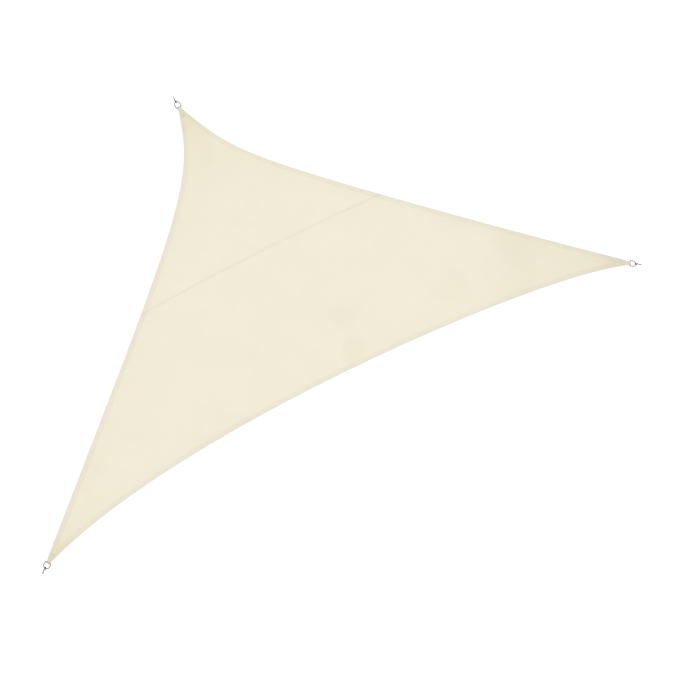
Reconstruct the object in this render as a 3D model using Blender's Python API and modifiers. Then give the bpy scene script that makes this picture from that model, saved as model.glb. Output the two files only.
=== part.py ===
"""A triangular shade sail, hung stretched between three anchors.

Metres, +Z up. The origin is where the top anchor bears on its hook. The sail is drawn in its
own plane, the one through its three ring centres: a and b are the distances from the top ring
along the two equal sides, and h is the height above that plane.
"""

from math import acos, asin, atan2, cos, pi, radians, sin, sqrt

import bmesh
import bpy
from mathutils import Matrix, Vector
from mathutils.geometry import (
    delaunay_2d_cdt,
    interpolate_bezier,
    intersect_line_line_2d,
    intersect_point_line,
)

# The sail's plane
LEG = 4.0  # from the top ring's centre to each of the other two
RIGHT_DROP = 1.380  # how far the right ring is below the top ring
FOOT_DROP = 1.166
RIGHT_HEADING = radians(-7.4)  # of the leg to the right ring, from +X
BELLY = 0.080  # how far the cloth's middle sags below the plane
PULL_CENTRE = Vector((0.734, 0.709))  # a and b of the point that all three anchors pull away from

# The cloth
CLOTH = 0.0012
HEM_CLOTH = 2 * CLOTH
HEM = 0.040
HEM_STEP = 0.003  # the width over which a hem's fold thins to one layer
TIP_REACH = 0.056  # from a ring's centre back to the cloth's cut tip
TIP_WIDTH = 0.046
SEAM_HEIGHT = 1.475  # from the line between the lower rings up to the seam
SEAM_TILT = 0.015
SEAM_BOW = 0.020
SEAM_HALF_LENGTH = 1.5  # long enough to run past both legs
LAP = 0.016
LIFT_FLAT = 0.010  # the upper panel is fully lifted from its edge to here, past the seam
LIFT_END = 0.040  # and back on the sail's surface from here
GAP = 0.0003
CURVE_POINTS = 600  # that an edge's curve is measured with
STEP = 0.090  # between points along an edge
GRID = 0.120  # between points inside a panel
GRID_MARGIN = 0.045  # kept clear of those points beside a panel's edges
MERGE = 0.00001

# How each edge leaves its two corners, counter-clockwise in a and b: the length of its lead
# there in metres, and the lead's angle in degrees from the straight line between the corners
EDGES = {
    "right_leg": dict(start="top", end="right", leads=(0.651, 3.417), angles=(20.1, 3.1)),
    "long": dict(start="right", end="foot", leads=(0.813, 1.534), angles=(19.6, 17.8)),
    "foot_leg": dict(start="foot", end="top", leads=(3.160, 0.575), angles=(4.9, 28.1)),
}
CORNERS = {
    "top": Vector((0.0, 0.0)),
    "right": Vector((LEG, 0.0)),
    "foot": Vector((0.0, LEG)),
}

# The corner fittings: along the pull, x counts outward from the ring's centre
WIRE = 0.003  # radius of the ring's and the hook's wire
RING_WIDTH = 0.024  # from the ring's middle to its side wire's centre
RING_BOW_X = 0.003  # the middle of the round bow
RING_CORNER = 0.006
BAR_X = -0.023
STRAP_WIDTH = 0.038
STRAP = 0.002
STRAP_END_X = -0.106
STRAP_STEPS = 5  # along each of a strap's legs
INNER_BEND = 0.0125
OUTER_BEND = 0.008
HOOK_LENGTH = 0.060
BEND_OVERRUN = radians(50)  # how far each bend turns back past its farthest point
ARC_STEP = radians(15)  # between points of a bend

# How far each hook has turned about its pull, in degrees from square to its ring
HOOK_TURNS = {"top": -40, "right": 5, "foot": 30}

INNER_BEND_X = RING_BOW_X + RING_WIDTH - 2 * WIRE - GAP + INNER_BEND
OUTER_BEND_X = INNER_BEND_X - INNER_BEND - 2 * WIRE - OUTER_BEND + HOOK_LENGTH
HOOK_SEAT_X = OUTER_BEND_X + OUTER_BEND - WIRE

COLOURS = {
    "cloth": dict(colour=(0.86, 0.81, 0.66), roughness=0.9, metallic=0.0),
    "webbing": dict(colour=(0.80, 0.74, 0.58), roughness=0.85, metallic=0.0),
    "steel": dict(colour=(0.12, 0.12, 0.13), roughness=0.3, metallic=1.0),
}


def axes_of_plane():
    """The sail's two side directions and its upward normal, from the drops and one heading."""
    right_fall = RIGHT_DROP / LEG
    foot_fall = FOOT_DROP / LEG
    right_run = sqrt(1 - right_fall**2)
    foot_run = sqrt(1 - foot_fall**2)
    between = acos(-right_fall * foot_fall / (right_run * foot_run))
    foot_heading = RIGHT_HEADING - between
    right = Vector((cos(RIGHT_HEADING) * right_run, sin(RIGHT_HEADING) * right_run, -right_fall))
    foot = Vector((cos(foot_heading) * foot_run, sin(foot_heading) * foot_run, -foot_fall))
    return right, foot, foot.cross(right)


A_AXIS, B_AXIS, NORMAL = axes_of_plane()


def sag(point):
    """The cloth's height: nothing at the ring centres and lowest in the middle."""
    a = point.x / LEG
    b = point.y / LEG
    return -3 * BELLY * (a + b - a * a - b * b - a * b)


def slope(point):
    """The rise of the cloth's height along a and along b."""
    a = point.x / LEG
    b = point.y / LEG
    return Vector((1 - 2 * a - b, 1 - 2 * b - a)) * -3 * BELLY / LEG


def outward(corner):
    return (CORNERS[corner] - PULL_CENTRE).normalized()


def left_of(direction):
    return Vector((-direction.y, direction.x))


def pull_axes(corner):
    """The pull's direction, across it and the cloth's normal, where the cloth meets the ring."""
    flat = outward(corner)
    rise = slope(CORNERS[corner]).dot(flat)
    pull = (flat.x * A_AXIS + flat.y * B_AXIS + rise * NORMAL).normalized()
    across = NORMAL.cross(pull).normalized()
    return pull, across, pull.cross(across)


def top_ring_centre():
    pull, across, normal = pull_axes("top")
    return normal * HEM_CLOTH / 2 - pull * HOOK_SEAT_X


SAIL_ORIGIN = top_ring_centre()


def place(point, height):
    return SAIL_ORIGIN + point.x * A_AXIS + point.y * B_AXIS + height * NORMAL


def corner_frame(corner):
    """A matrix with x along the pull and z along the cloth's normal, at the ring's centre."""
    pull, across, normal = pull_axes(corner)
    frame = Matrix((pull, across, normal)).transposed().to_4x4()
    frame.translation = place(CORNERS[corner], 0.0) - normal * HEM_CLOTH / 2
    return frame


# Lines in the sail's plane


def evenly(points, step):
    """Points along the same line, at equal distances of about one step."""
    lengths = [(points[i + 1] - points[i]).length for i in range(len(points) - 1)]
    count = max(1, round(sum(lengths) / step))
    even = sum(lengths) / count
    result = [points[0]]
    travelled = 0.0
    for i, length in enumerate(lengths):
        while len(result) < count and travelled + length >= even * len(result):
            share = (even * len(result) - travelled) / length
            result.append(points[i].lerp(points[i + 1], share))
        travelled += length
    return result + [points[-1]]


def edge_line(name, step=STEP):
    """One of the cloth's three edges, from cut tip to cut tip, with the inside on its left."""
    edge = EDGES[name]
    start_out = outward(edge["start"])
    end_out = outward(edge["end"])
    start = CORNERS[edge["start"]] - start_out * TIP_REACH + left_of(start_out) * TIP_WIDTH / 2
    end = CORNERS[edge["end"]] - end_out * TIP_REACH - left_of(end_out) * TIP_WIDTH / 2
    along = (end - start).normalized()
    inward = left_of(along)
    first, last = (radians(angle) for angle in edge["angles"])
    first_lead = (along * cos(first) + inward * sin(first)) * edge["leads"][0]
    last_lead = (-along * cos(last) + inward * sin(last)) * edge["leads"][1]
    curve = interpolate_bezier(start, start + first_lead, end + last_lead, end, CURVE_POINTS)
    return evenly([Vector(point) for point in curve], step)


def seam_line(above, step=STEP):
    """A line from left to right, so far above the middle of the seam."""
    line = []
    count = round(2 * SEAM_HALF_LENGTH / step)
    for i in range(count + 1):
        along = SEAM_HALF_LENGTH * (2 * i / count - 1)
        height = SEAM_HEIGHT + SEAM_TILT * along - SEAM_BOW * along**2 + above
        down = LEG / sqrt(2) - height
        line.append(Vector(((down + along) / sqrt(2), (down - along) / sqrt(2))))
    return line


def above_seam(point):
    """How far a point is above the middle of the seam."""
    along = (point.x - point.y) / sqrt(2)
    height = (LEG - point.x - point.y) / sqrt(2)
    return height - (SEAM_HEIGHT + SEAM_TILT * along - SEAM_BOW * along**2)


def moved_inward(line, inset):
    result = []
    for i, point in enumerate(line):
        before = line[max(i - 1, 0)]
        after = line[min(i + 1, len(line) - 1)]
        result.append(point + left_of((after - before).normalized()) * inset)
    return result


def joined(first, second):
    """The first line up to where the second crosses it, and the second from there on."""
    for i in range(len(first) - 1):
        for j in range(len(second) - 1):
            hit = intersect_line_line_2d(first[i], first[i + 1], second[j], second[j + 1])
            if hit:
                return first[: i + 1] + [hit], [hit] + second[j + 1 :]
    return first, second


def loop_of(sides, inset):
    """The closed outline within a panel's sides. Only its hemmed sides move in by the inset."""
    lines = [moved_inward(line, inset) if hemmed else list(line) for line, hemmed in sides]
    for i in range(len(lines)):
        after = (i + 1) % len(lines)
        lines[i], lines[after] = joined(lines[i], lines[after])
    return [point for line in lines for point in line]


def clipped(line, loop):
    """The stretch of a line between its two crossings of a loop."""
    hits = []
    for i in range(len(line) - 1):
        for start, end in zip(loop, loop[1:] + loop[:1]):
            hit = intersect_line_line_2d(line[i], line[i + 1], start, end)
            if hit:
                hits.append((i, hit))
    (before, entry), (last, leaving) = hits
    return [entry] + line[before + 1 : last + 1] + [leaving]


def distance(point, line):
    """From a point to the nearest place on a line."""
    lengths = []
    for start, end in zip(line, line[1:]):
        _, share = intersect_point_line(point, start, end)
        nearest = start.lerp(end, min(max(share, 0.0), 1.0))
        lengths.append((point - nearest).length)
    return min(lengths)


def is_inside(point, loop):
    """Whether a line from the point toward greater a leaves the loop an odd number of times."""
    inside = False
    for start, end in zip(loop, loop[1:] + loop[:1]):
        if (start.y > point.y) != (end.y > point.y):
            crossing = start.x + (end.x - start.x) * (point.y - start.y) / (end.y - start.y)
            if crossing > point.x:
                inside = not inside
    return inside


def grid_inside(loop):
    """The points of a square grid that lie well inside a loop."""
    closed = loop + loop[:1]
    count = round(LEG / GRID)
    grid = [Vector((i * GRID, j * GRID)) for i in range(count) for j in range(count)]
    return [
        point for point in grid if is_inside(point, loop) and distance(point, closed) > GRID_MARGIN
    ]


# Objects


def material(slot):
    look = COLOURS[slot]
    made = bpy.data.materials.get(slot) or bpy.data.materials.new(slot)
    made.use_nodes = True
    shader = made.node_tree.nodes["Principled BSDF"]
    shader.inputs["Base Color"].default_value = (*look["colour"], 1.0)
    shader.inputs["Roughness"].default_value = look["roughness"]
    shader.inputs["Metallic"].default_value = look["metallic"]
    made.diffuse_color = (*look["colour"], 1.0)
    return made


def add_object(name, data, slot, collection):
    made = bpy.data.objects.new(name, data)
    data.materials.append(material(slot))
    collection.objects.link(made)
    return made


def panel(name, sides, cross_lines, height, collection):
    """A cloth panel: its upper face, thickened downward, with two layers along its hems."""
    outline = loop_of(sides, 0.0)
    fold = loop_of(sides, HEM)
    field = loop_of(sides, HEM + HEM_STEP)
    points = []
    links = []
    for loop in (outline, fold, field):
        first = len(points)
        points += loop
        links += [(first + i, first + (i + 1) % len(loop)) for i in range(len(loop))]
    for line in cross_lines:
        first = len(points)
        points += line
        links += [(first + i, first + i + 1) for i in range(len(line) - 1)]
    points += grid_inside(field)
    corners, _, triangles, *_ = delaunay_2d_cdt(
        points, links, [tuple(range(len(outline)))], 1, MERGE
    )
    hemmed_lines = [line for line, hemmed in sides if hemmed]
    in_hem = [
        min(distance(corner, line) for line in hemmed_lines) < HEM + HEM_STEP / 2
        for corner in corners
    ]
    mesh = bpy.data.meshes.new(name)
    mesh.from_pydata(
        [place(corner, height(corner, hem)) for corner, hem in zip(corners, in_hem)],
        [],
        [tuple(reversed(triangle)) for triangle in triangles],
    )
    made = add_object(name, mesh, "cloth", collection)
    group = made.vertex_groups.new(name="hem")
    group.add([i for i, hem in enumerate(in_hem) if hem], 1.0, "REPLACE")
    solid = made.modifiers.new("Thickness", "SOLIDIFY")
    solid.thickness = HEM_CLOTH
    solid.offset = -1.0
    solid.vertex_group = group.name
    solid.thickness_vertex_group = CLOTH / HEM_CLOTH
    return made


def foot_panel(collection):
    """The lower panel, from the long edge up to the seam."""
    sides = [
        (edge_line("long"), True),
        (edge_line("foot_leg"), True),
        (seam_line(LAP / 2), False),
        (edge_line("right_leg"), True),
    ]
    return panel("panel_foot", sides, [], lambda point, hem: sag(point), collection)


def peak_panel(collection):
    """The upper panel, whose lower edge laps over the lower panel."""
    sides = [
        (edge_line("right_leg"), True),
        (seam_line(-LAP / 2)[::-1], False),
        (edge_line("foot_leg"), True),
    ]
    outline = loop_of(sides, 0.0)
    cross_lines = [clipped(seam_line(above), outline) for above in (LIFT_FLAT, LIFT_END)]

    def height(point, hem):
        share = (LIFT_END - above_seam(point)) / (LIFT_END - LIFT_FLAT)
        lift = GAP + (HEM_CLOTH if hem else CLOTH)
        return sag(point) + lift * min(max(share, 0.0), 1.0)

    return panel("panel_peak", sides, cross_lines, height, collection)


def arc(centre, radius, start, end):
    """Points of an arc in a plane, as pairs, with both its ends."""
    count = round(abs(end - start) / ARC_STEP)
    angles = [start + (end - start) * i / count for i in range(count + 1)]
    return [(centre[0] + radius * cos(a), centre[1] + radius * sin(a)) for a in angles]


def wire(name, points, closed, frame, collection):
    """Round steel wire through points in a corner's frame."""
    curve = bpy.data.curves.new(name, "CURVE")
    curve.dimensions = "3D"
    curve.bevel_depth = WIRE
    curve.bevel_resolution = 2
    curve.use_fill_caps = True
    spline = curve.splines.new("POLY")
    spline.points.add(len(points) - 1)
    for knot, point in zip(spline.points, points):
        knot.co = (*point, 1.0)
    spline.use_cyclic_u = closed
    made = add_object(name, curve, "steel", collection)
    made.matrix_world = frame
    return made


def d_ring(corner, collection):
    """A ring with a straight bar toward the cloth and a round bow toward the anchor."""
    side = RING_WIDTH - RING_CORNER
    shoulder = BAR_X + RING_CORNER
    outline = arc((shoulder, -side), RING_CORNER, 1.5 * pi, pi)
    outline += arc((shoulder, side), RING_CORNER, pi, pi / 2)
    outline += arc((RING_BOW_X, 0.0), RING_WIDTH, pi / 2, -pi / 2)
    points = [(x, y, 0.0) for x, y in outline]
    return wire(f"d_ring_{corner}", points, True, corner_frame(corner), collection)


def hook(corner, collection):
    """A bent wire hook: a larger bend through the ring and a smaller one for the anchor."""
    between = OUTER_BEND_X - INNER_BEND_X
    crossing = asin((INNER_BEND + OUTER_BEND) / between)
    inner = (INNER_BEND_X, 0.0)
    outer = (OUTER_BEND_X, 0.0)
    path = arc(inner, INNER_BEND, 2 * pi - BEND_OVERRUN, pi / 2 - crossing)
    path += arc(outer, OUTER_BEND, 1.5 * pi - crossing, 2 * pi + BEND_OVERRUN)
    points = [(x, 0.0, z) for x, z in path]
    frame = corner_frame(corner) @ Matrix.Rotation(radians(HOOK_TURNS[corner]), 4, "X")
    return wire(f"hook_{corner}", points, False, frame, collection)


def strap(corner, collection):
    """Webbing folded round the ring's bar, with a leg on each face of the cloth's tip."""
    frame = corner_frame(corner)
    to_frame = frame.inverted()
    clear = HEM_CLOTH / 2 + GAP + STRAP / 2
    leg = []
    for i in range(STRAP_STEPS + 1):
        back = -STRAP_END_X + (TIP_REACH + STRAP_END_X) * i / STRAP_STEPS
        point = CORNERS[corner] - outward(corner) * back
        middle = to_frame @ place(point, sag(point) - HEM_CLOTH / 2)
        leg.append((middle.x, middle.z))
    wrap = WIRE + GAP + STRAP / 2
    last_x = leg[-1][0] - BAR_X
    reach = sqrt(last_x**2 + clear**2)
    touch = atan2(clear, last_x) - acos(wrap / reach)  # where the leg meets the turn round the bar
    path = [(x, z + clear) for x, z in leg]
    path += arc((BAR_X, 0.0), wrap, touch, -touch)
    path += [(x, z - clear) for x, z in reversed(leg)]
    shape = bmesh.new()
    edges = [
        [shape.verts.new((x, y, z)) for x, z in path] for y in (-STRAP_WIDTH / 2, STRAP_WIDTH / 2)
    ]
    for i in range(len(path) - 1):
        shape.faces.new((edges[0][i], edges[0][i + 1], edges[1][i + 1], edges[1][i]))
    mesh = bpy.data.meshes.new(f"strap_{corner}")
    shape.to_mesh(mesh)
    shape.free()
    made = add_object(f"strap_{corner}", mesh, "webbing", collection)
    made.matrix_world = frame
    solid = made.modifiers.new("Thickness", "SOLIDIFY")
    solid.thickness = STRAP
    solid.offset = 0.0
    solid.use_even_offset = True
    return made


def main():
    for leftover in list(bpy.data.objects):
        bpy.data.objects.remove(leftover)
    collection = bpy.data.collections.new("shade_sail")
    bpy.context.scene.collection.children.link(collection)
    peak_panel(collection)
    foot_panel(collection)
    for corner in CORNERS:
        strap(corner, collection)
        d_ring(corner, collection)
        hook(corner, collection)


main()
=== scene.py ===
from math import acos, asin, atan2, cos, pi, radians, sin, sqrt

import bpy
import numpy as np
from mathutils import Euler, Matrix, Vector, noise
from mathutils.geometry import delaunay_2d_cdt, interpolate_bezier, intersect_line_line_2d
from mathutils.kdtree import KDTree


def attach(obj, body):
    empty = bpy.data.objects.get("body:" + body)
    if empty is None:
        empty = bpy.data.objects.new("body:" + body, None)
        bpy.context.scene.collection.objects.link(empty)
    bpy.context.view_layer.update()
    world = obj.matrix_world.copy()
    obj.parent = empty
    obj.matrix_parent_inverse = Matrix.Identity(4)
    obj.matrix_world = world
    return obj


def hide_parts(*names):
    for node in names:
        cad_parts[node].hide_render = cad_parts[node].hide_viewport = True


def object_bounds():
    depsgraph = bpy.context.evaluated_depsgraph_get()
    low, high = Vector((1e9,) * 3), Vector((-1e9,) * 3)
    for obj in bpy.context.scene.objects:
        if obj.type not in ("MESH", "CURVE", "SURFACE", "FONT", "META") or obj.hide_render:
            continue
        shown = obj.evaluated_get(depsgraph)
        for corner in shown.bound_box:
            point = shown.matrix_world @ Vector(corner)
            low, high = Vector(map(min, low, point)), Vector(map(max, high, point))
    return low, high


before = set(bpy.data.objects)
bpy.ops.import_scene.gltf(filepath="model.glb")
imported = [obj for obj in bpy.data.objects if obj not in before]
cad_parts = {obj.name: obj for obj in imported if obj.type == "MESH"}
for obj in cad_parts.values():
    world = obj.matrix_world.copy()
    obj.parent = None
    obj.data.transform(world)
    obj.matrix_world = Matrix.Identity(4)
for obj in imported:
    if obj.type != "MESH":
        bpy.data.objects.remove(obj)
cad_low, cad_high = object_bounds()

# The finished look of a triangular shade sail: its cloth, sewing, webbing and steel.
#
# Metres. The sail is drawn in its own plane, through its three ring centres: a and b are the
# distances from the top ring along the two equal sides, and heights are above that plane.

# The sail's plane
LEG = 4.0  # from the top ring's centre to each of the other two
RIGHT_DROP = 1.380  # each lower ring's distance below the top one
FOOT_DROP = 1.166
RIGHT_HEADING = radians(-7.4)  # of the side to the right ring, seen from above
BELLY = 0.080  # the cloth's depth in the middle
PULL_CENTRE = Vector((0.734, 0.709))  # all three corners are pulled away from here

# The cloth
CLOTH = 0.0012  # thickness
HEM_CLOTH = 2 * CLOTH
HEM = 0.040
HEM_STEP = 0.0008  # the width of the step at the hem's inner fold
TIP_REACH = 0.056  # from a ring's centre back to the blunt end of the cloth
TIP_WIDTH = 0.046
SEAM_HEIGHT = 1.475  # above the line between the two lower rings
SEAM_TILT = 0.015
SEAM_BOW = 0.020
SEAM_HALF_LENGTH = 1.5
LAP = 0.016
LIFT_FLAT = 0.010  # up to here above the seam, the upper panel is lifted over the lower one
LIFT_END = 0.040  # from here on, the two are level
GAP = 0.0003  # between pieces that touch
# each edge is a curve with two handles: their lengths, and their angles in degrees
EDGES = {
    "right_leg": dict(start="top", end="right", leads=(0.651, 3.417), angles=(20.1, 3.1)),
    "long": dict(start="right", end="foot", leads=(0.813, 1.534), angles=(19.6, 17.8)),
    "foot_leg": dict(start="foot", end="top", leads=(3.160, 0.575), angles=(4.9, 28.1)),
}
CORNERS = {
    "top": Vector((0.0, 0.0)),
    "right": Vector((LEG, 0.0)),
    "foot": Vector((0.0, LEG)),
}

# The cloth's mesh
CURVE_POINTS = 2400
NEAREST_STEP = 0.002  # between the points that a distance to the edge is measured to
STEP = 0.010  # between points along an edge
GRID = 0.025  # between points inside a panel
GRID_MARGIN = 0.012
MERGE = 0.00001
CREASE = radians(50)  # a sharper turn than this is shaded as an edge
# distances from the folded edge at which the mesh has a row of points
HEM_ROWS = (0.0, 0.0003, 0.0012, 0.006, 0.008, 0.010, 0.020, 0.034, 0.036, 0.038)
FIELD_ROWS = (HEM, HEM + HEM_STEP, 0.048)
THINNEST = 0.0002  # half the thickness at the very edge of a fold

# The cloth's unevenness
WAVE = 0.0016  # height of the soft waves in the field
WAVE_SPACING = 0.45
WAVE_FADE = 0.3  # how far from the edge they reach their whole height
PUCKER = 0.00035  # height of the gathers that the hem's sewing leaves
PUCKER_SPACING = 0.042
PUCKER_REACH = 0.060
PUCKER_DRIFT = 4  # how far their phase wanders, in radians
PUCKER_DRIFT_SPACING = 0.3
PUCKER_PLACE = 7.0  # where in the noise the wandering is read
GROOVE = 0.0003  # how deep the thread draws the cloth in
GROOVE_WIDTH = 0.0015
GROOVE_START = 0.003  # from the folded edge
GROOVE_THINNING = 1.5  # the thickness lost under the thread, in depths of the upper groove

# Sewing
HEM_SEAMS = (0.008, 0.036)  # each row's distance from the folded edge
LAP_SEAMS = (-0.005, 0.005)  # each row's distance above the middle of the lap
STITCH_PITCH = 0.005
STITCH_SHARE = 0.78  # of the pitch that a stitch shows on the surface
THREAD = 0.00045  # radius
STRAP_PITCH = 0.0045
STRAP_THREAD = 0.0005  # radius
BOX_INSET = 0.005  # of the strap's box of sewing from the webbing's edges

# The corner fittings: along the pull, x counts outward from the ring's centre
WIRE = 0.003  # radius
RING_WIDTH = 0.024  # from the ring's middle to its side wire's centre
RING_BOW_X = 0.003  # the middle of the round bow
RING_CORNER = 0.006
BAR_X = -0.023
STRAP_WIDTH = 0.038
STRAP = 0.002  # thickness
STRAP_END_X = -0.106
STRAP_STEPS = 12
STRAP_COLUMNS = 8
STRAP_EDGE_FACETS = 6
INNER_BEND = 0.0125  # radius of the wire's middle
OUTER_BEND = 0.008
HOOK_LENGTH = 0.060  # over the wire
BEND_OVERRUN = radians(50)  # how far each bend turns back past its farthest point
ARC_STEP = radians(5)
WIRE_ROUNDNESS = 6
WIRE_END_TURNS = (30, 55, 75, 88)  # degrees round a wire's rounded end at each section
HOOK_TURNS = {"top": -40, "right": 5, "foot": 30}  # degrees about the pull
INNER_BEND_X = RING_BOW_X + RING_WIDTH - 2 * WIRE - GAP + INNER_BEND
OUTER_BEND_X = INNER_BEND_X - INNER_BEND - 2 * WIRE - OUTER_BEND + HOOK_LENGTH
HOOK_SEAT_X = OUTER_BEND_X + OUTER_BEND - WIRE  # where the anchor's eye would bear

# Colours, linear
CREAM = (0.838, 0.795, 0.664)
TIP_SHADE = (0.962, 0.952, 0.905)  # painted shade where the hems lie over each other at a corner
CORNER_SHADE = (0.990, 0.982, 0.962)  # painted shade on the field near a corner
BESIDE_TINT = (1.0, 0.997, 0.982)  # the field beside a hem
# painted shade on the hem, where its two layers of cloth let less light through
HEM_SHADE = (0.967, 0.963, 0.966)
RIM_TINT = (0.970, 0.980, 1.012)  # along the folded edge
STAIN_TINT = (0.978, 0.978, 0.950)
WEBBING = (0.665, 0.61, 0.465)
THREAD_COLOUR = (0.80, 0.74, 0.60)
STRAP_THREAD_COLOUR = (0.70, 0.65, 0.51)
STEEL = (0.038, 0.038, 0.040)
STEEL_EDGE = (0.14, 0.14, 0.14, 1.0)  # how much of the light a grazing view reflects
PALE = (0.95, 0.95, 0.95)

# The view and its light
CAMERA_PLACE = Vector((1.3436, -18.2325, 18.6856))
CAMERA_TILT = radians(40)  # from looking straight down
CAMERA_ANGLE = radians(12)
CAMERA_REACH = 200
GROUND_CLEARANCE = 11.5
GROUND_HALF = 150
SKY = 1.0
KEY_ENERGY = 0.8
KEY_SOFTNESS = radians(70)
KEY_DIRECTION = Vector((0.55, 0.35, -1.0))


def axes_of_plane():
    """The sail's two side directions and its upward normal, from the drops and one heading."""
    right_fall = RIGHT_DROP / LEG
    foot_fall = FOOT_DROP / LEG
    right_run = sqrt(1 - right_fall**2)
    foot_run = sqrt(1 - foot_fall**2)
    between = acos(-right_fall * foot_fall / (right_run * foot_run))
    foot_heading = RIGHT_HEADING - between
    right = Vector((cos(RIGHT_HEADING) * right_run, sin(RIGHT_HEADING) * right_run, -right_fall))
    foot = Vector((cos(foot_heading) * foot_run, sin(foot_heading) * foot_run, -foot_fall))
    return right, foot, foot.cross(right)


A_AXIS, B_AXIS, NORMAL = axes_of_plane()


def sag(point):
    """The cloth's height: nothing at the ring centres and lowest in the middle."""
    a = point[0] / LEG
    b = point[1] / LEG
    return -3 * BELLY * (a + b - a * a - b * b - a * b)


def slope(point):
    """The rise of the cloth's height along a and along b."""
    a = point.x / LEG
    b = point.y / LEG
    return Vector((1 - 2 * a - b, 1 - 2 * b - a)) * -3 * BELLY / LEG


def outward(corner):
    return (CORNERS[corner] - PULL_CENTRE).normalized()


def left_of(direction):
    return Vector((-direction.y, direction.x))


def pull_axes(corner):
    """The pull's direction, across it and the cloth's normal, where the cloth meets the ring."""
    flat = outward(corner)
    rise = slope(CORNERS[corner]).dot(flat)
    pull = (flat.x * A_AXIS + flat.y * B_AXIS + rise * NORMAL).normalized()
    across = NORMAL.cross(pull).normalized()
    return pull, across, pull.cross(across)


def top_ring_centre():
    pull, _, normal = pull_axes("top")
    return normal * HEM_CLOTH / 2 - pull * HOOK_SEAT_X


SAIL_ORIGIN = top_ring_centre()


def place(point, height):
    return SAIL_ORIGIN + point[0] * A_AXIS + point[1] * B_AXIS + height * NORMAL


def corner_frame(corner):
    """A matrix with x along the pull and z along the cloth's normal, at the ring's centre."""
    pull, across, normal = pull_axes(corner)
    made = Matrix((pull, across, normal)).transposed().to_4x4()
    made.translation = place(CORNERS[corner], 0.0) - normal * HEM_CLOTH / 2
    return made


# Lines in the sail's plane


def evenly(points, step):
    """Points along the same line, at equal distances of about one step."""
    lengths = [(points[i + 1] - points[i]).length for i in range(len(points) - 1)]
    count = max(1, round(sum(lengths) / step))
    even = sum(lengths) / count
    result = [points[0]]
    travelled = 0.0
    for i, length in enumerate(lengths):
        while len(result) < count and travelled + length >= even * len(result):
            share = (even * len(result) - travelled) / length
            result.append(points[i].lerp(points[i + 1], share))
        travelled += length
    return result + [points[-1]]


def edge_line(name, step=STEP):
    """One of the cloth's three edges, from cut tip to cut tip, with the inside on its left."""
    edge = EDGES[name]
    start_out = outward(edge["start"])
    end_out = outward(edge["end"])
    start = CORNERS[edge["start"]] - start_out * TIP_REACH + left_of(start_out) * TIP_WIDTH / 2
    end = CORNERS[edge["end"]] - end_out * TIP_REACH - left_of(end_out) * TIP_WIDTH / 2
    along = (end - start).normalized()
    inward = left_of(along)
    first, last = (radians(angle) for angle in edge["angles"])
    first_lead = (along * cos(first) + inward * sin(first)) * edge["leads"][0]
    last_lead = (-along * cos(last) + inward * sin(last)) * edge["leads"][1]
    curve = interpolate_bezier(start, start + first_lead, end + last_lead, end, CURVE_POINTS)
    return evenly([Vector(point) for point in curve], step)


def seam_line(above):
    """A line from left to right, so far above the middle of the seam."""
    line = []
    count = round(2 * SEAM_HALF_LENGTH / STEP)
    for i in range(count + 1):
        along = SEAM_HALF_LENGTH * (2 * i / count - 1)
        height = SEAM_HEIGHT + SEAM_TILT * along - SEAM_BOW * along**2 + above
        down = LEG / sqrt(2) - height
        line.append(Vector(((down + along) / sqrt(2), (down - along) / sqrt(2))))
    return line


def above_seam(point):
    """How far a point is above the middle of the seam."""
    along = (point[0] - point[1]) / sqrt(2)
    height = (LEG - point[0] - point[1]) / sqrt(2)
    return height - (SEAM_HEIGHT + SEAM_TILT * along - SEAM_BOW * along**2)


def moved_inward(line, inset):
    result = []
    for i, point in enumerate(line):
        before = line[max(i - 1, 0)]
        after = line[min(i + 1, len(line) - 1)]
        result.append(point + left_of((after - before).normalized()) * inset)
    return result


def near(first, second, line_1, line_2):
    """Whether the boxes round two stretches of line meet."""
    return all(
        min(first[k], second[k]) <= max(line_1[k], line_2[k])
        and min(line_1[k], line_2[k]) <= max(first[k], second[k])
        for k in range(2)
    )


def joined(first, second):
    """The first line up to where the second crosses it, and the second from there on."""
    for i in range(len(first) - 1):
        for j in range(len(second) - 1):
            if near(first[i], first[i + 1], second[j], second[j + 1]):
                hit = intersect_line_line_2d(first[i], first[i + 1], second[j], second[j + 1])
                if hit:
                    return first[: i + 1] + [hit], [hit] + second[j + 1 :]
    return first, second


def loop_of(sides, inset):
    """The closed outline within a panel's sides. Only its hemmed sides move in by the inset."""
    lines = [moved_inward(line, inset) if hemmed else list(line) for line, hemmed in sides]
    for i in range(len(lines)):
        after = (i + 1) % len(lines)
        lines[i], lines[after] = joined(lines[i], lines[after])
    return [point for line in lines for point in line]


def inside(points, loop):
    """Which points a loop goes round."""
    x, y = points.T
    found = np.zeros(len(points), bool)
    for start, end in zip(loop, loop[1:] + loop[:1]):
        if start.y != end.y:
            crossing = start.x + (end.x - start.x) * (y - start.y) / (end.y - start.y)
            found ^= ((start.y > y) != (end.y > y)) & (crossing > x)
    return found


def tree_of(points):
    tree = KDTree(len(points))
    for i, point in enumerate(points):
        tree.insert((point[0], point[1], 0.0), i)
    tree.balance()
    return tree


def grid_inside(loop):
    """The points of a square grid that lie well inside a loop."""
    count = round(LEG / GRID)
    grid = np.array([(i * GRID, j * GRID) for i in range(count) for j in range(count)])
    tree = tree_of(loop)
    return [
        Vector(point)
        for point in grid[inside(grid, loop)].tolist()
        if tree.find((*point, 0.0))[2] > GRID_MARGIN
    ]


class Hem:
    """The distance of any point from the cloth's hemmed edges, and its place along them."""

    def __init__(self):
        self.points = []
        self.along = []
        for number, name in enumerate(EDGES):
            line = edge_line(name, NEAREST_STEP)
            self.points += line
            self.along += [number * 2 * LEG + i * NEAREST_STEP for i in range(len(line))]
        self.tree = tree_of(self.points)

    def at(self, point):
        _, index, length = self.tree.find((point[0], point[1], 0.0))
        return length, self.along[index]


HEM_LINE = Hem()


# Meshes


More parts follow.
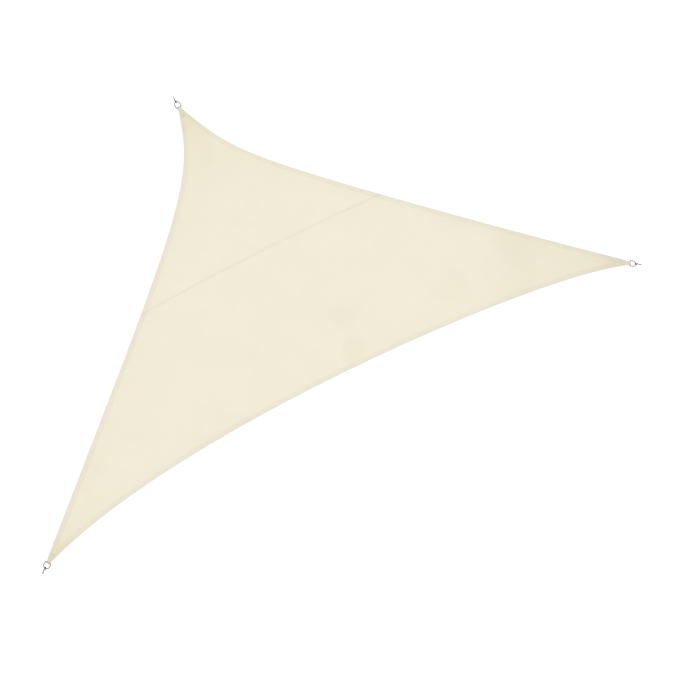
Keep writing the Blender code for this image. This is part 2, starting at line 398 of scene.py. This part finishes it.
def groove(offset):
    """The shape of the hollow that a row of sewing draws, by the distance from the row."""
    return np.exp(-((offset / GROOVE_WIDTH) ** 2))


def waves(points, depth):
    """The soft unevenness of the field, dying out toward the edges."""
    spread = np.array([noise.noise(Vector((a, b, 0.0)) / WAVE_SPACING) for a, b in points])
    return WAVE * spread * np.clip(depth / WAVE_FADE, 0, 1)


def gathers(along, depth):
    """The small gathers that the hem's sewing leaves, deepest at its inner row."""
    spots = [Vector((s / PUCKER_DRIFT_SPACING, 0.0, PUCKER_PLACE)) for s in along]
    drift = np.array([noise.noise(spot) for spot in spots])
    phase = 2 * pi * along / PUCKER_SPACING + PUCKER_DRIFT * drift
    fade = np.clip(1 - np.abs(depth - HEM_SEAMS[-1]) / PUCKER_REACH, 0, 1) ** 2
    return PUCKER * np.sin(phase) * fade


def surfaces(points, lift):
    """The heights of a panel's upper and lower faces, and each point's distance from the edge."""
    found = np.array([HEM_LINE.at(point) for point in points])
    depth, along = found.T
    seam = np.array([above_seam(point) for point in points])
    middle = np.array([sag(point) for point in points])
    middle += waves(points, depth) + gathers(along, depth)
    hem = np.clip((HEM + HEM_STEP - depth) / HEM_STEP, 0, 1)
    radius = HEM_CLOTH / 2
    rounded = np.sqrt(np.maximum(radius**2 - np.maximum(radius - depth, 0) ** 2, THINNEST**2))
    drawn = sum(groove(depth - row) for row in HEM_SEAMS)
    drawn = drawn + sum(groove(seam - row) for row in LAP_SEAMS)
    drawn = np.minimum(drawn, 1) * GROOVE * np.clip((depth - GROOVE_START) / GROOVE_START, 0, 1)
    top = middle + lift(seam, hem) - (radius - rounded) - drawn
    thick = CLOTH + (HEM_CLOTH - CLOTH) * hem - 2 * (radius - rounded)
    thick = thick - GROOVE_THINNING * drawn
    bottom = top - np.maximum(thick, 2 * THINNEST)
    return top.tolist(), bottom.tolist(), depth


def sheet_mesh(name, points, triangles, top, bottom):
    """A closed mesh between two faces over the same triangles."""
    count = len(points)
    verts = [place(p, h) for face in (top, bottom) for p, h in zip(points, face)]
    upper = [tuple(reversed(t)) for t in triangles]
    lower = [tuple(i + count for i in t) for t in triangles]
    once = {}
    for t in triangles:
        for start, end in zip(t, t[1:] + t[:1]):
            if once.pop((end, start), None) is None:
                once[(start, end)] = True
    rim = [(i, j, j + count, i + count) for i, j in once]
    mesh = bpy.data.meshes.new(name)
    mesh.from_pydata(verts, [], upper + lower + rim)
    mesh.shade_smooth()
    mesh.set_sharp_from_angle(angle=CREASE)
    return mesh


def add_flat_map(mesh, points):
    """A UV map of the cloth laid flat, in metres, with u along the long side."""
    layer = mesh.uv_layers.new(name="flat")
    flat = np.array([((a - b) / sqrt(2), (LEG - a - b) / sqrt(2)) for a, b in points])
    corner = np.empty(len(mesh.loops), np.int32)
    mesh.loops.foreach_get("vertex_index", corner)
    layer.uv.foreach_set("vector", flat[corner % len(points)].astype(np.float32).ravel())


def add_values(mesh, name, values):
    layer = mesh.attributes.new(name, "FLOAT", "POINT")
    layer.data.foreach_set("value", np.asarray(values, np.float32))


def add_piece(name, data, look, slot, *nodes):
    made = bpy.data.objects.new(name, data)
    data.materials.append(look)
    bpy.context.scene.collection.objects.link(made)
    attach(made, "root")
    if nodes:
        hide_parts(*nodes)
    return made


def cloth_panel(name, sides, lift, look, node):
    outline = loop_of(sides, 0.0)
    points = []
    links = []
    for inset in HEM_ROWS + FIELD_ROWS:
        loop = loop_of(sides, inset)
        first = len(points)
        points += loop
        links += [(first + i, first + (i + 1) % len(loop)) for i in range(len(loop))]
    points += grid_inside(loop)
    found = delaunay_2d_cdt(points, links, [tuple(range(len(outline)))], 1, MERGE)
    corners = [(point.x, point.y) for point in found[0]]
    triangles = [tuple(triangle) for triangle in found[2]]
    top, bottom, depth = surfaces(corners, lift)
    mesh = sheet_mesh(name, corners, triangles, top, bottom)
    add_flat_map(mesh, corners)
    add_values(mesh, "hem_depth", np.tile(depth, 2))
    corner_distance = [min((Vector(p) - c).length for c in CORNERS.values()) for p in corners]
    add_values(mesh, "corner_distance", np.tile(corner_distance, 2))
    return add_piece(name, mesh, look, "cloth", node)


def flush(seam, hem):
    """The lower panel isn't lifted."""
    return 0.0


def lapped(seam, hem):
    """How far the upper panel is lifted over the lower one."""
    share = np.clip((LIFT_END - seam) / (LIFT_END - LIFT_FLAT), 0, 1)
    return (GAP + CLOTH + (HEM_CLOTH - CLOTH) * hem) * share


# Sewing

# where along a stitch each of its sections is, how high in radii, and whether it is full
STITCH_SECTIONS = ((-0.5, -0.6, False), (-0.3, 0.5, True), (0.3, 0.5, True), (0.5, -0.6, False))


def stitches(name, rows, radius, look, slot):
    """Short threads along each row. A row is its points, all one pitch apart, and their normals."""
    verts = []
    faces = []
    for points, normals in rows:
        for i in range(len(points) - 1):
            start, end = points[i], points[i + 1]
            along = end - start
            normal = normals[i]
            across = along.cross(normal).normalized()
            first = len(verts)
            middle = (start + end) / 2
            for spot, rise, full in STITCH_SECTIONS:
                centre = middle + along * spot * STITCH_SHARE + normal * radius * rise
                if full:
                    ring = ((across, 1), (normal, 1), (across, -1), (normal, -1))
                    verts += [centre + axis * way * radius for axis, way in ring]
                else:
                    verts.append(centre)
            for k in range(4):
                n = (k + 1) % 4
                faces.append((first, first + 1 + n, first + 1 + k))
                faces.append((first + 1 + k, first + 1 + n, first + 5 + n, first + 5 + k))
                faces.append((first + 5 + k, first + 5 + n, first + 9))
    mesh = bpy.data.meshes.new(name)
    mesh.from_pydata(verts, [], faces)
    mesh.shade_smooth()
    add_piece(name, mesh, look, slot)


def face_rows(line, lift, side):
    """A row of sewing on the upper (1) or lower (-1) face, along a line in the sail's plane."""
    line = evenly(line, STITCH_PITCH)
    flat = [(point.x, point.y) for point in line]
    top, bottom, _ = surfaces(flat, lift)
    height = top if side > 0 else bottom
    points = [place(p, h) for p, h in zip(flat, height)]
    return points, [NORMAL * side] * len(points)


def hem_sewing(look):
    for name in EDGES:
        edge = edge_line(name)
        rows = []
        for inset in HEM_SEAMS:
            line = moved_inward(edge, inset)
            # the upper panel covers the part of a side edge that is above the seam
            lower = [p for p in line if above_seam(p) <= -LAP / 2]
            upper = [p for p in line if above_seam(p) > -LAP / 2]
            for part, lift in ((lower, flush), (upper, lapped)):
                for side in (1, -1):
                    if len(part) > 2:
                        rows.append(face_rows(part, lift, side))
        stitches(f"sewing_{name}", rows, THREAD, look, "cloth")


def seam_sewing(look):
    rows = []
    outline = loop_of([(edge_line(name), True) for name in EDGES], HEM_SEAMS[0])
    for above in LAP_SEAMS:
        line = seam_line(above)
        within = inside(np.array([(p.x, p.y) for p in line]), outline)
        line = [p for p, held in zip(line, within) if held]
        rows.append(face_rows(line, lapped, 1))
        rows.append(face_rows(line, flush, -1))
    stitches("sewing_seam", rows, THREAD, look, "cloth")


# Corner fittings


def arc(centre, radius, start, end):
    """Points of an arc in a plane, as pairs, with both its ends."""
    count = round(abs(end - start) / ARC_STEP)
    angles = [start + (end - start) * i / count for i in range(count + 1)]
    return [(centre[0] + radius * cos(a), centre[1] + radius * sin(a)) for a in angles]


def wire(name, points, closed, matrix, look, node):
    """Round steel wire through points in a corner's frame. An open wire has rounded ends."""
    knots = [(Vector(point), 1.0) for point in points]
    if not closed:
        first = (knots[0][0] - knots[1][0]).normalized()
        last = (knots[-1][0] - knots[-2][0]).normalized()
        ends = [(sin(radians(turn)), cos(radians(turn))) for turn in WIRE_END_TURNS]
        before = [(knots[0][0] + first * WIRE * (out - 1), size) for out, size in ends]
        after = [(knots[-1][0] + last * WIRE * (out - 1), size) for out, size in ends]
        knots[0] = (knots[0][0] - first * WIRE, 1.0)
        knots[-1] = (knots[-1][0] - last * WIRE, 1.0)
        knots = before[::-1] + knots + after
    curve = bpy.data.curves.new(name, "CURVE")
    curve.dimensions = "3D"
    curve.bevel_depth = WIRE
    curve.bevel_resolution = WIRE_ROUNDNESS
    curve.use_fill_caps = not closed
    spline = curve.splines.new("POLY")
    spline.points.add(len(knots) - 1)
    for knot, (point, size) in zip(spline.points, knots):
        knot.co = (*point, 1.0)
        knot.radius = size
    spline.use_cyclic_u = closed
    spline.use_smooth = True
    curve.transform(matrix)
    add_piece(name, curve, look, "steel", node)


def d_ring(corner, look):
    """A ring with a straight bar toward the cloth and a round bow toward the anchor."""
    side = RING_WIDTH - RING_CORNER
    shoulder = BAR_X + RING_CORNER
    outline = arc((shoulder, -side), RING_CORNER, 1.5 * pi, pi)
    outline += arc((shoulder, side), RING_CORNER, pi, pi / 2)
    outline += arc((RING_BOW_X, 0.0), RING_WIDTH, pi / 2, -pi / 2)
    points = [(x, y, 0.0) for x, y in outline]
    wire(f"ring_{corner}", points, True, corner_frame(corner), look, f"d_ring_{corner}")


def hook(corner, look):
    """A bent wire hook: a larger bend through the ring and a smaller one for the anchor."""
    between = OUTER_BEND_X - INNER_BEND_X
    crossing = asin((INNER_BEND + OUTER_BEND) / between)
    path = arc((INNER_BEND_X, 0.0), INNER_BEND, 2 * pi - BEND_OVERRUN, pi / 2 - crossing)
    path += arc((OUTER_BEND_X, 0.0), OUTER_BEND, 1.5 * pi - crossing, 2 * pi + BEND_OVERRUN)
    points = [(x, 0.0, z) for x, z in path]
    matrix = corner_frame(corner) @ Matrix.Rotation(radians(HOOK_TURNS[corner]), 4, "X")
    wire(f"wire_hook_{corner}", points, False, matrix, look, f"hook_{corner}")


def strap_path(corner):
    """The middle of the webbing, in the corner's frame, as pairs of x and z."""
    to_frame = corner_frame(corner).inverted()
    clear = HEM_CLOTH / 2 + GAP + STRAP / 2
    leg = []
    for i in range(STRAP_STEPS + 1):
        back = -STRAP_END_X + (TIP_REACH + STRAP_END_X) * i / STRAP_STEPS
        point = CORNERS[corner] - outward(corner) * back
        middle = to_frame @ place(point, sag(point) - HEM_CLOTH / 2)
        leg.append((middle.x, middle.z))
    wrap = WIRE + GAP + STRAP / 2
    last_x = leg[-1][0] - BAR_X
    reach = sqrt(last_x**2 + clear**2)
    touch = atan2(clear, last_x) - acos(wrap / reach)
    path = [(x, z + clear) for x, z in leg]
    path += arc((BAR_X, 0.0), wrap, touch, -touch)
    path += [(x, z - clear) for x, z in reversed(leg)]
    return path


def webbing_section():
    """The webbing's cross-section, as pairs of y and z, with rounded edges."""
    half = STRAP / 2
    flat = STRAP_WIDTH / 2 - half
    columns = [flat * (2 * i / STRAP_COLUMNS - 1) for i in range(STRAP_COLUMNS + 1)]
    turns = [pi / 2 - pi * i / STRAP_EDGE_FACETS for i in range(1, STRAP_EDGE_FACETS)]
    upper = [(y, half) for y in columns]
    right = [(flat + half * cos(turn), half * sin(turn)) for turn in turns]
    lower = [(-y, -half) for y in columns]
    left = [(-y, -z) for y, z in right]
    return upper + right + lower + left


def strap(corner, look):
    """The webbing: from the cloth's upper face round the ring's bar to its lower face."""
    path = [Vector(point) for point in strap_path(corner)]
    section = webbing_section()
    matrix = corner_frame(corner)
    verts = []
    spots = []
    travelled = 0.0
    for i, middle in enumerate(path):
        before = path[max(i - 1, 0)]
        after = path[min(i + 1, len(path) - 1)]
        travelled += (middle - before).length
        out = left_of((after - before).normalized())
        for y, z in section:
            verts.append(matrix @ Vector((middle.x + out.x * z, y, middle.y + out.y * z)))
            spots.append((y, travelled))
    size = len(section)
    faces = [tuple(reversed(range(size))), tuple(range(len(verts) - size, len(verts)))]
    for i in range(len(path) - 1):
        for k in range(size):
            n = (k + 1) % size
            faces.append((i * size + k, i * size + n, (i + 1) * size + n, (i + 1) * size + k))
    mesh = bpy.data.meshes.new(f"webbing_{corner}")
    mesh.from_pydata(verts, [], faces)
    mesh.shade_smooth()
    mesh.set_sharp_from_angle(angle=CREASE)
    layer = mesh.uv_layers.new(name="flat")
    corner_of = np.empty(len(mesh.loops), np.int32)
    mesh.loops.foreach_get("vertex_index", corner_of)
    spots = np.array(spots, np.float32)
    layer.uv.foreach_set("vector", spots[corner_of].ravel())
    add_values(mesh, "fold_distance", np.abs(spots[:, 1] - travelled / 2))
    add_piece(f"webbing_{corner}", mesh, look, "webbing", f"strap_{corner}")


def strap_sewing(corner, look):
    """A box of sewing with a cross in it, through the strap's two legs and the cloth's tip."""
    matrix = corner_frame(corner)
    to_frame = matrix.inverted()
    low_x = STRAP_END_X + BOX_INSET
    high_x = -TIP_REACH - BOX_INSET
    half = STRAP_WIDTH / 2 - BOX_INSET
    spots = [(low_x, -half), (high_x, -half), (high_x, half), (low_x, half)]
    runs = [(spots[i], spots[(i + 1) % 4]) for i in range(4)]
    runs += [(spots[0], spots[2]), (spots[1], spots[3])]
    face = HEM_CLOTH / 2 + GAP + STRAP
    rows = []
    for start, end in runs:
        line = evenly([Vector(start), Vector(end)], STRAP_PITCH)
        for side in (1, -1):
            points = []
            for x, y in line:
                flat = CORNERS[corner] + outward(corner) * x
                middle = to_frame @ place(flat, sag(flat) - HEM_CLOTH / 2)
                points.append(matrix @ Vector((x, y, middle.z + side * face)))
            normal = matrix.to_3x3().col[2] * side
            rows.append((points, [normal] * len(points)))
    stitches(f"sewing_strap_{corner}", rows, STRAP_THREAD, look, "webbing")


# Materials


class Look:
    """A material with a Principled shader, and short ways to add nodes to it."""

    def __init__(self, name, **values):
        self.material = bpy.data.materials.new(name)
        self.material.use_nodes = True
        self.tree = self.material.node_tree
        self.shader = self.tree.nodes["Principled BSDF"]
        for socket, value in values.items():
            self.set(self.shader, socket.replace("_", " "), value)

    def set(self, node, socket, value):
        if isinstance(value, bpy.types.NodeSocket):
            self.tree.links.new(value, node.inputs[socket])
        else:
            node.inputs[socket].default_value = value

    def node(self, kind, settings=None, **inputs):
        made = self.tree.nodes.new(f"ShaderNode{kind}")
        for name, value in (settings or {}).items():
            setattr(made, name, value)
        for socket, value in inputs.items():
            self.set(made, socket.replace("_", " "), value)
        return made

    def maths(self, operation, first, second=0.0, third=0.0):
        made = self.node("Math", {"operation": operation})
        for i, value in enumerate((first, second, third)):
            self.set(made, i, value)
        return made.outputs[0]

    def ramp(self, value, span, results):
        """A smooth step from the first result to the second, over a span of the value."""
        made = self.node("MapRange", {"interpolation_type": "SMOOTHSTEP"})
        for i, number in enumerate((value, *span, *results)):
            self.set(made, i, number)
        return made.outputs[0]

    def fade(self, value, span):
        """1 up to the start of a span and 0 from its end."""
        return self.ramp(value, span, (1.0, 0.0))

    def value(self, name):
        return self.node("Attribute", {"attribute_name": name}).outputs["Fac"]

    def noise(self, vector, scale, detail=2.0, roughness=0.5):
        made = self.node("TexNoise", Vector=vector, Scale=scale, Detail=detail, Roughness=roughness)
        return made.outputs["Fac"]

    def patches(self, vector, scale, detail, roughness, span, shades):
        """Soft uneven patches between two shades."""
        return self.ramp(self.noise(vector, scale, detail, roughness), span, shades)

    def toward(self, colour, share):
        """White where the share is 0, and the colour where it is 1."""
        made = self.node("Mix", {"data_type": "VECTOR"})
        self.set(made, 0, share)
        self.set(made, 4, (1.0, 1.0, 1.0))  # sockets 4 and 5 and output 1 are the vectors
        self.set(made, 5, colour)
        return made.outputs[1]

    def times(self, first, second):
        made = self.node("VectorMath", {"operation": "MULTIPLY"})
        self.set(made, 0, first)
        self.set(made, 1, second)
        return made.outputs[0]

    def tinted(self, colour, *shares):
        """A colour scaled by each share in turn."""
        total = shares[0]
        for share in shares[1:]:
            total = self.maths("MULTIPLY", total, share)
        made = self.node("VectorMath", {"operation": "SCALE"})
        self.set(made, 0, colour)
        self.set(made, "Scale", total)
        return made.outputs[0]

    def scattered(self, vector, scale, reach):
        """An offset that wanders by up to half the reach each way."""
        texture = self.node("TexNoise", Vector=vector, Scale=scale, Detail=3.0)
        made = self.node("VectorMath", {"operation": "MULTIPLY_ADD"})
        self.set(made, 0, texture.outputs["Color"])
        self.set(made, 1, (reach, reach, 0.0))
        self.set(made, 2, (-reach / 2, -reach / 2, 0.0))
        return made.outputs[0]

    def spot(self, vector, at, radius, shade):
        """A soft spot of a darker shade."""
        made = self.node("VectorMath", {"operation": "DISTANCE"})
        self.set(made, 0, vector)
        self.set(made, 1, (*at, 0.0))
        return self.ramp(made.outputs["Value"], (radius * SPOT_CORE, radius), (shade, 1.0))

    def bump(self, height, strength, distance):
        made = self.node("Bump", Strength=strength, Distance=distance, Height=height)
        self.set(self.shader, "Normal", made.outputs[0])
        return made.outputs[0]

    def flat(self):
        made = self.node("UVMap", {"uv_map": "flat"})
        parts = self.node("SeparateXYZ", Vector=made.outputs[0])
        return made.outputs[0], parts.outputs[0], parts.outputs[1]


# The knit: its ribs run along the long side, and slanting tapes of yarn cross between them
WALE = 0.0030  # between ribs
COURSE = 0.0042  # between tapes
TAPE_BEND = 1.3
KNIT_OPENING = (0.05, 0.45)  # the height of the yarn, from a hole to its surface
# painted shade in the knit's holes, and full colour on the yarn's surface
KNIT_HOLLOW_SHADES = (0.90, 1.005)
TRANSLUCENCE = 0.16  # the share of the light that the cloth scatters through itself

# Where each tint and shade of the cloth goes
HEM_SHADE_SPAN = (HEM - 0.001, HEM + 0.004)  # spans of the distance from the folded edge
RIM_SPAN = (0.010, 0.030)
BESIDE_SPAN = (HEM, 0.26)
SEWN_SPAN = (0.001, 0.005)  # from the hem's inner row of sewing
SEWN_SHADE = 0.98
TIP_SHADE_SPAN = (0.15, 0.42)  # spans of the distance from a ring's centre
CORNER_SHADE_SPAN = (0.20, 1.2)
RIGHT_SPAN = (1.2, 2.6)  # the cloth darkens toward its right end
RIGHT_SHADE = 0.965
SPOT_CORE = 0.3  # of a stain's radius
STAIN_FULL = 0.96  # the shade at which a stain has its whole tint
# faint stains, placed in the cloth's own flat coordinates
STAINS = (
    dict(at=(0.34, 0.75), radius=0.20, shade=0.975),
    dict(at=(0.28, 0.43), radius=0.17, shade=0.965),
    dict(at=(1.36, 0.53), radius=0.28, shade=0.975),
    dict(at=(1.99, 0.61), radius=0.26, shade=0.970),
    dict(at=(1.84, 0.33), radius=0.32, shade=0.978),
    dict(at=(-2.07, 0.54), radius=0.20, shade=0.980),
    dict(at=(-1.82, 0.76), radius=0.16, shade=0.990),
    dict(at=(-0.01, 2.35), radius=0.20, shade=0.980),
)
CLOUDS = dict(scale=2.4, detail=3.0, roughness=0.55, span=(0.25, 0.75), shades=(0.990, 1.008))
MOTTLE = dict(scale=11.0, detail=2.0, roughness=0.5, span=(0.2, 0.8), shades=(0.994, 1.006))


def knit_height(look, u, v):
    """The height of the knit's surface, between 0 and 1, at a place on the flat cloth."""
    across = look.maths("MULTIPLY", v, 2 * pi / WALE)
    ridge = look.maths("MULTIPLY_ADD", look.maths("COSINE", across), 0.5, 0.5)
    bend = look.maths("MULTIPLY", look.maths("SINE", across), TAPE_BEND)
    lay = look.maths("SINE", look.maths("MULTIPLY_ADD", u, 2 * pi / COURSE, bend))
    return look.maths("MAXIMUM", ridge, look.maths("MULTIPLY_ADD", lay, 0.4, 0.4))


def stained(look, flat):
    """Where the stains are: 1 in the darkest of them and 0 away from them."""
    ragged = look.node("VectorMath", {"operation": "ADD"})
    look.set(ragged, 0, flat)
    look.set(ragged, 1, look.scattered(flat, scale=3.5, reach=0.35))
    spots = 1.0
    for stain in STAINS:
        spots = look.maths("MULTIPLY", spots, look.spot(ragged.outputs[0], **stain))
    return look.fade(spots, (STAIN_FULL, 1.0))


def cloth_look():
    look = Look("knitted_cloth", Roughness=0.82, Sheen_Weight=0.08)
    flat, u, v = look.flat()
    height = knit_height(look, u, v)
    # painted shade in the knit's hollows, by the height of its surface
    knit_hollow_shade = look.ramp(height, KNIT_OPENING, KNIT_HOLLOW_SHADES)
    clouds = look.patches(flat, **CLOUDS)
    mottle = look.patches(flat, **MOTTLE)
    depth = look.value("hem_depth")
    from_row = look.maths("ABSOLUTE", look.maths("SUBTRACT", depth, HEM_SEAMS[-1]))
    sewn = look.ramp(from_row, SEWN_SPAN, (SEWN_SHADE, 1.0))
    corner = look.value("corner_distance")
    to_right = look.ramp(u, RIGHT_SPAN, (1.0, RIGHT_SHADE))
    colour = look.tinted(CREAM, knit_hollow_shade, clouds, mottle, sewn, to_right)
    tints = (
        # painted shade over the hem
        (HEM_SHADE, look.fade(depth, HEM_SHADE_SPAN)),
        (RIM_TINT, look.fade(depth, RIM_SPAN)),
        (BESIDE_TINT, look.fade(depth, BESIDE_SPAN)),
        # painted shade on the field, growing toward each corner
        (CORNER_SHADE, look.fade(corner, CORNER_SHADE_SPAN)),
        # painted shade at each corner's tip, where the hems overlap
        (TIP_SHADE, look.fade(corner, TIP_SHADE_SPAN)),
        (STAIN_TINT, stained(look, flat)),
    )
    for tint, share in tints:
        colour = look.times(colour, look.toward(tint, share))
    look.set(look.shader, "Base Color", colour)
    normal = look.bump(height, strength=0.35, distance=0.0004)
    through = look.node("BsdfTranslucent", Color=colour, Normal=normal)
    mixed = look.node("MixShader", Fac=TRANSLUCENCE)
    look.set(mixed, 1, look.shader.outputs[0])
    look.set(mixed, 2, through.outputs[0])
    output = look.tree.nodes["Material Output"]
    look.set(output, "Surface", mixed.outputs[0])
    return look.material


THREAD_WEAR = dict(scale=60.0, detail=2.0, roughness=0.5, span=(0.2, 0.8), shades=(0.93, 1.05))


def thread_look(name, colour):
    look = Look(name, Roughness=0.6, Sheen_Weight=0.15)
    vector = look.node("TexCoord").outputs["Object"]
    look.set(look.shader, "Base Color", look.tinted(colour, look.patches(vector, **THREAD_WEAR)))
    return look.material


# The webbing's weave: ribs along it, and slanting picks that cross them
RIB = 0.0016  # between ribs
PICK = 0.0014  # between picks
PICK_BEND = 1.2
WEAVE_SPAN = (0.1, 0.7)
# painted shade in the weave's hollows, and full colour on its raised threads
WEAVE_HOLLOW_SHADES = (0.86, 1.03)
WEBBING_WEAR = dict(
    scale=90.0, detail=3.0, roughness=0.5, span=(0.25, 0.75), shades=(0.965, 1.02)
)
FOLD_SHADE_REACH = 0.010  # how far from the fold round the ring's bar the painted shade reaches
# painted shade in the webbing's fold round the ring's bar
FOLD_SHADE = (0.36, 0.37, 0.42)


def webbing_look():
    look = Look("woven_webbing", Roughness=0.75, Sheen_Weight=0.12)
    flat, across, along = look.flat()
    rib = look.maths("COSINE", look.maths("MULTIPLY", across, 2 * pi / RIB))
    bend = look.maths("MULTIPLY", rib, PICK_BEND)
    pick = look.maths("SINE", look.maths("MULTIPLY_ADD", along, 2 * pi / PICK, bend))
    height = look.maths("MULTIPLY_ADD", pick, 0.25, look.maths("MULTIPLY_ADD", rib, 0.25, 0.5))
    # painted shade in the weave's hollows, by the height of its surface
    shade = look.ramp(height, WEAVE_SPAN, WEAVE_HOLLOW_SHADES)
    # painted shade where the webbing folds round the ring's bar, darkest at the fold
    fold_shaded = look.fade(look.value("fold_distance"), (FOLD_SHADE_REACH / 2, FOLD_SHADE_REACH))
    colour = look.tinted(WEBBING, shade, look.patches(flat, **WEBBING_WEAR))
    look.set(look.shader, "Base Color", look.times(colour, look.toward(FOLD_SHADE, fold_shaded)))
    look.bump(height, strength=0.6, distance=0.0003)
    return look.material


STEEL_WEAR_SPAN = (0.3, 0.7)
STEEL_SHADES = (0.8, 1.15)
STEEL_ROUGHNESS = (0.24, 0.40)


def steel_look():
    look = Look("steel_wire", Metallic=1.0, Specular_Tint=STEEL_EDGE)
    vector = look.node("TexCoord").outputs["Object"]
    wear = look.noise(vector, scale=140.0, detail=4.0, roughness=0.6)
    shade = look.ramp(wear, STEEL_WEAR_SPAN, STEEL_SHADES)
    look.set(look.shader, "Base Color", look.tinted(STEEL, shade))
    look.set(look.shader, "Roughness", look.ramp(wear, STEEL_WEAR_SPAN, STEEL_ROUGHNESS))
    look.bump(look.noise(vector, scale=900.0), strength=0.15, distance=0.0001)
    return look.material


FLOOR_PATCHES = dict(scale=0.6, detail=2.0, roughness=0.5, span=(0.2, 0.8), shades=(0.99, 1.0))


def ground_look():
    look = Look("pale_floor", Roughness=0.9)
    vector = look.node("TexCoord").outputs["Object"]
    look.set(look.shader, "Base Color", look.tinted(PALE, look.patches(vector, **FLOOR_PATCHES)))
    return look.material


# The scene


def add_camera():
    camera = bpy.data.objects.new("camera", bpy.data.cameras.new("camera"))
    camera.location = CAMERA_PLACE
    camera.rotation_euler = Euler((CAMERA_TILT, 0.0, 0.0))
    camera.data.angle = CAMERA_ANGLE
    camera.data.clip_end = CAMERA_REACH
    bpy.context.scene.collection.objects.link(camera)
    bpy.context.scene.camera = camera


def add_key():
    light = bpy.data.lights.new("key", "SUN")
    light.angle = KEY_SOFTNESS
    light.energy = KEY_ENERGY
    key = bpy.data.objects.new("key", light)
    key.rotation_euler = KEY_DIRECTION.to_track_quat("-Z", "Y").to_euler()
    bpy.context.scene.collection.objects.link(key)


def add_world():
    world = bpy.data.worlds.new("studio")
    world.use_nodes = True
    background = world.node_tree.nodes["Background"]
    background.inputs["Color"].default_value = (1.0, 1.0, 1.0, 1.0)
    background.inputs["Strength"].default_value = SKY
    bpy.context.scene.world = world


def add_floor():
    height = cad_low.z - GROUND_CLEARANCE
    ways = ((-1, -1), (1, -1), (1, 1), (-1, 1))
    corners = [(x * GROUND_HALF, y * GROUND_HALF, height) for x, y in ways]
    mesh = bpy.data.meshes.new("floor")
    mesh.from_pydata(corners, [], [(0, 1, 2, 3)])
    floor = bpy.data.objects.new("floor", mesh)
    mesh.materials.append(ground_look())
    bpy.context.scene.collection.objects.link(floor)


def main():
    add_camera()
    add_key()
    add_world()
    add_floor()
    cloth = cloth_look()
    thread = thread_look("thread", THREAD_COLOUR)
    strap_thread = thread_look("strap_thread", STRAP_THREAD_COLOUR)
    webbing = webbing_look()
    steel = steel_look()
    long, foot_leg, right_leg = (edge_line(name) for name in ("long", "foot_leg", "right_leg"))
    foot_sides = [(long, True), (foot_leg, True), (seam_line(LAP / 2), False), (right_leg, True)]
    peak_sides = [(right_leg, True), (seam_line(-LAP / 2)[::-1], False), (foot_leg, True)]
    foot = cloth_panel("cloth_foot", foot_sides, flush, cloth, "panel_foot")
    peak = cloth_panel("cloth_peak", peak_sides, lapped, cloth, "panel_peak")
    hem_sewing(thread)
    seam_sewing(thread)
    for corner in CORNERS:
        strap(corner, webbing)
        strap_sewing(corner, strap_thread)
        d_ring(corner, steel)
        hook(corner, steel)
    bpy.context.scene.view_settings.view_transform = "Standard"


main()
